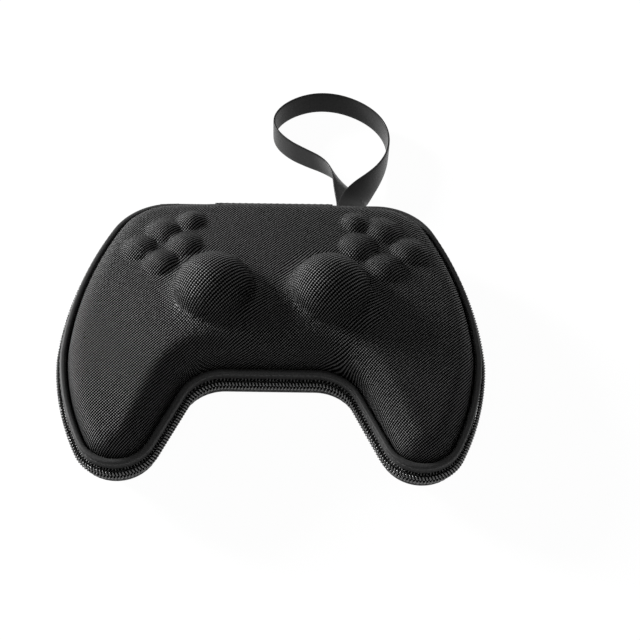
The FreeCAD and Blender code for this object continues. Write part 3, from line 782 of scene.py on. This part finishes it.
def coil_path(way, shift):
    """Middle line of the wound filament along the chain."""
    turns = int((chain_end - chain_start) / coil_pitch) - 1
    reach, rise = coil_deep / 2 - wire_radius, (coil_high - coil_low) / 2 - wire_radius
    line = []
    for count in range(turns * turn_steps):
        angle = 2 * math.pi * count / turn_steps
        along = chain_start + (count / turn_steps + 0.5 + shift) * coil_pitch
        inset = coil_deep / 2 - reach * math.cos(angle)
        height = (coil_low + coil_high) / 2 + rise * math.sin(angle)
        line.append(rim_point(*on_outline(along), inset, closing_height + way * height))
    return line


def wire_mesh(line, radius, sides):
    """Round wire along a line of points, closed at both ends."""
    points = []
    for number, place in enumerate(line):
        run = (line[min(number + 1, len(line) - 1)] - line[max(number - 1, 0)]).normalized()
        first = run.orthogonal().normalized() if number == 0 else \
            (last - run * last.dot(run)).normalized()
        last = first
        second = run.cross(first)
        for side in range(sides):
            angle = 2 * math.pi * side / sides
            points.append(place + (first * math.cos(angle) + second * math.sin(angle)) * radius)
    return points, tube_faces(len(line), sides)


def core_yarn():
    """Dull black filler cord."""
    material, tree, shader = plain_material("core_yarn", 0.9, Specular_IOR_Level=0.02)
    twist = waves(tree, body_place(tree), 0.5, 35.0, 0.4)
    paint(tree, shader, twist, [(0.2, 0.001), (0.8, 0.004)])
    return material


def core_path(way):
    """Middle line of the cord that the filament is wound round."""
    height = closing_height + way * (coil_low + coil_high) / 2
    steps = int((chain_end - chain_start) / core_step)
    return [rim_point(*on_outline(chain_start + (step + 0.5) * core_step), coil_deep / 2, height)
            for step in range(steps)]


coil_nylon, filler = coil_plastic(), core_yarn()
for (level, body, way), shift in zip(LEVELS, (0.0, 0.5)):
    points, faces = wire_mesh(coil_path(way, shift), wire_radius, wire_sides)
    core_points, core_faces = wire_mesh(core_path(way), core_radius, wire_sides)
    wound = len(faces)
    faces += [tuple(number + len(points) for number in face) for face in core_faces]
    coil = make_piece(f"{level}_zip_coil_row", points + core_points, faces,
                      [coil_nylon, filler], inner=range(wound, len(faces)))
    settle(coil, body, "zip_coil", f"{level}_zip_coil")

# End stops, slider and pull tab
# Small moulded stops close each end of the chain; the die-cast slider carries its pull on a bar.
weld_gap, flat_angle = 1e-6, math.radians(2)
eased_angle, eased_steps = math.radians(40), 3


def eased_copy(node, name, material, rounding):
    """Copy of a node's solid with its sharp edges rounded."""
    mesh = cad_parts[node].data.copy()
    shape = bmesh.new()
    shape.from_mesh(mesh)
    bmesh.ops.remove_doubles(shape, verts=shape.verts, dist=weld_gap)
    bmesh.ops.dissolve_limit(shape, angle_limit=flat_angle, verts=shape.verts,
                             edges=shape.edges)
    shape.to_mesh(mesh)
    shape.free()
    mesh.materials.clear()
    mesh.materials.append(material)
    piece = bpy.data.objects.new(name, mesh)
    bpy.context.collection.objects.link(piece)
    bevel = piece.modifiers.new("rounding", "BEVEL")
    bevel.width = rounding * MM
    bevel.segments = eased_steps
    bevel.limit_method = "ANGLE"
    bevel.angle_limit = eased_angle
    bevel.harden_normals = True
    mesh.shade_smooth()
    return piece


def black_lacquer():
    """Black lacquer on zinc, worn to bare metal along the edges."""
    material, tree, shader = plain_material("slider_lacquer", 0.28, Specular_IOR_Level=0.4)
    place = body_place(tree)
    scuffs = add_node(tree, "TexNoise", [(place, "Vector")], Scale=900.0, Detail=4.0)
    edges = add_node(tree, "NewGeometry").outputs["Pointiness"]
    wear_and_highlight = blend_values(tree, edges, scuffs.outputs["Fac"], 0.15)
    paint(tree, shader, wear_and_highlight, [(0.6, 0.012), (0.68, 0.35)])
    paint(tree, shader, wear_and_highlight, [(0.62, 0.0), (0.68, 1.0)], "Metallic")
    emboss(tree, shader, scuffs.outputs["Fac"], 0.15, 0.03)
    return material


lacquer = black_lacquer()
for node, body, material, slot, rounding in (
        ("upper_zip_stops", "lid", coil_nylon, "zip_coil", 0.3),
        ("lower_zip_stops", "base", coil_nylon, "zip_coil", 0.3),
        ("zip_slider", "slider", lacquer, "slider_metal", 0.2),
        ("pull_tab", "pull", lacquer, "slider_metal", 0.3)):
    piece = eased_copy(node, node + "_cast", material, rounding)
    settle(piece, body, slot, node)

# Hinge strip
# A folded strip of the binding's cloth is sewn over both bindings along the rear.
hinge_half, hinge_reach, hinge_bulge, hinge_thick = 28.0, 7.0, 2.8, 0.8
hinge_columns, hinge_rows = 56, 20
points, cloth, faces = [], [], []
for column in range(hinge_columns + 1):
    across = hinge_half * (2 * column / hinge_columns - 1)
    for face, lift in ((0, 0.0), (1, hinge_thick)):
        for row in range(hinge_rows + 1):
            share = 2 * row / hinge_rows - 1
            back = rear_edge - band_outer + hinge_bulge * (1 - share ** 2) + lift
            points.append(Vector((across, back, closing_height + hinge_reach * share)))
            cloth.append((across, hinge_reach * share))
span = 2 * (hinge_rows + 1)
for column in range(hinge_columns):
    start = column * span
    for row in range(hinge_rows):
        faces.append((start + row, start + row + 1, start + span + row + 1, start + span + row))
        far = start + hinge_rows + 1 + row
        faces.append((far, far + 1, far + span + 1, far + span))
    for row in (0, hinge_rows):
        one = start + row
        faces.append((one, one + hinge_rows + 1, one + hinge_rows + 1 + span, one + span))
for start in (0, hinge_columns * span):
    for row in range(hinge_rows):
        one = start + row
        faces.append((one, one + 1, one + hinge_rows + 2, one + hinge_rows + 1))
hinge = make_piece("hinge_cloth", points, faces, [binding_tape], cloth)
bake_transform(hinge)
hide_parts("hinge_strip")

# Strap patch
# The strap's two ends are sewn into a folded patch of coarse nylon behind the lower rim.
patch_cloth = woven_nylon("patch_nylon", body_place)
patch = eased_copy("strap_anchor", "strap_patch", patch_cloth, 0.35)
settle(patch, "base", "binding_fabric", "strap_anchor")

# Sewing
# Black polyester thread shows as short raised stitches along the bindings and the hinge strip.
thread_radius, thread_sides, stitch_long, stitch_gap = 0.17, 6, 2.3, 0.7
bow_rise, bow_sink, bow_steps = 0.22, 0.1, 4
band_seam_up, band_seam_out = 1.2, 0.12
hinge_seam_in, hinge_seam_out, hinge_seam_end = 1.3, 0.04, 1.5


def thread_polyester():
    """Twisted thread."""
    material, tree, shader = plain_material("thread", 0.45, Specular_IOR_Level=0.4,
                                            Sheen_Weight=0.2)
    twist = waves(tree, body_place(tree), 0.3, 30.0, 0.2)
    paint(tree, shader, twist, [(0.2, 0.015), (0.8, 0.05)])
    emboss(tree, shader, twist, 0.3, 0.05)
    return material


thread = thread_polyester()


def sewn_line(name, spots, body, slot):
    """One mesh of stitches; each bows out between its two ends, which are sunk in the cloth."""
    points, faces = [], []
    for start, end, lift in spots:
        line = []
        for step in range(bow_steps + 1):
            share = step / bow_steps
            bow = math.sin(math.pi * share) * bow_rise - bow_sink
            line.append(start.lerp(end, share) + lift * bow)
        more, rings = wire_mesh(line, thread_radius, thread_sides)
        faces += [tuple(number + len(points) for number in ring) for ring in rings]
        points += more
    settle(make_piece(name, points, faces, [thread]), body, slot)


band_middle = (band_low + band_high) / 2
for level, body, way in LEVELS:
    spots = []
    count = int(2 * half_length / (stitch_long + stitch_gap))
    for number in range(count):
        start = number * 2 * half_length / count
        ends = []
        for along in (start, start + stitch_long):
            place, out = on_outline(along)
            ends.append(rim_point(place, out, band_outer + band_seam_out,
                                  closing_height + way * (band_middle + band_seam_up)))
        spots.append((*ends, Vector((out.x, out.y, 0.0))))
    sewn_line(f"{level}_binding_sewing", spots, body, "binding_fabric")
for level, body, way in LEVELS:
    spots = []
    height = hinge_reach - hinge_seam_in
    back = rear_edge - band_outer + hinge_bulge * (1 - (height / hinge_reach) ** 2) + hinge_thick
    start = -hinge_half + hinge_seam_end
    while start + stitch_long < hinge_half:
        ends = [Vector((across, back + hinge_seam_out, closing_height + way * height))
                for across in (start, start + stitch_long)]
        spots.append((*ends, Vector((0.0, 1.0, 0.0))))
        start += stitch_long + stitch_gap
    sewn_line(f"{level}_hinge_sewing", spots, body, "binding_fabric")

# Floor and light
# A plain white floor, one large lamp low at the rear left and a weak one in front.
floor_half, floor_drop = 4000.0, 0.2
# Name, place, width and watts
LAMPS = [
    ("key", (-1800.0, 960.0, 680.0), 600.0, 118.0),
    ("fill", (-250.0, -800.0, 760.0), 80.0, 1.2),
]


def background_seen(tree):
    """One where the picture, a reflection or a clear piece shows the background."""
    path = add_node(tree, "LightPath")
    first = add_node(tree, "Math", [(path.outputs["Is Camera Ray"], 0),
                                    (path.outputs["Is Glossy Ray"], 1)], operation="MAXIMUM")
    return add_node(tree, "Math", [(first.outputs[0], 0),
                                   (path.outputs["Is Transmission Ray"], 1)],
                    operation="MAXIMUM").outputs[0]


world = bpy.data.worlds.new("studio")
world.use_nodes = True
scene.world = world
tree = world.node_tree
background = tree.nodes["Background"]
background.inputs["Color"].default_value = (1.0, 1.0, 1.0, 1.0)
level = add_node(tree, "MapRange", [(background_seen(tree), "Value")], To_Min=0.018, To_Max=1.0)
tree.links.new(level.outputs["Result"], background.inputs["Strength"])

corners = [(right * floor_half, back * floor_half, -floor_drop)
           for right, back in ((-1, -1), (1, -1), (1, 1), (-1, 1))]
floor_paint = bpy.data.materials.new("floor_paint")
floor_paint.use_nodes = True
tree = floor_paint.node_tree
shader = tree.nodes["Principled BSDF"]
shader.inputs["Base Color"].default_value = (0.8, 0.8, 0.8, 1.0)
shader.inputs["Roughness"].default_value = 0.8
glow = add_node(tree, "Emission", Strength=1.05)
share = add_node(tree, "MapRange", [(background_seen(tree), "Value")], To_Min=0.0, To_Max=0.93)
mixed = add_node(tree, "MixShader", [(share.outputs["Result"], 0)])
tree.links.new(shader.outputs["BSDF"], mixed.inputs[1])
tree.links.new(glow.outputs["Emission"], mixed.inputs[2])
tree.links.new(mixed.outputs["Shader"], tree.nodes["Material Output"].inputs["Surface"])
floor = make_piece("floor", corners, [(0, 1, 2, 3)], [floor_paint])

for name, place, wide, power in LAMPS:
    lamp = bpy.data.lights.new(name, "AREA")
    lamp.size = wide * MM
    lamp.energy = power
    item = bpy.data.objects.new(name, lamp)
    item.location = Vector(place) * MM
    item.rotation_euler = (aim - Vector(place)).to_track_quat("-Z", "Y").to_euler()
    bpy.context.collection.objects.link(item)
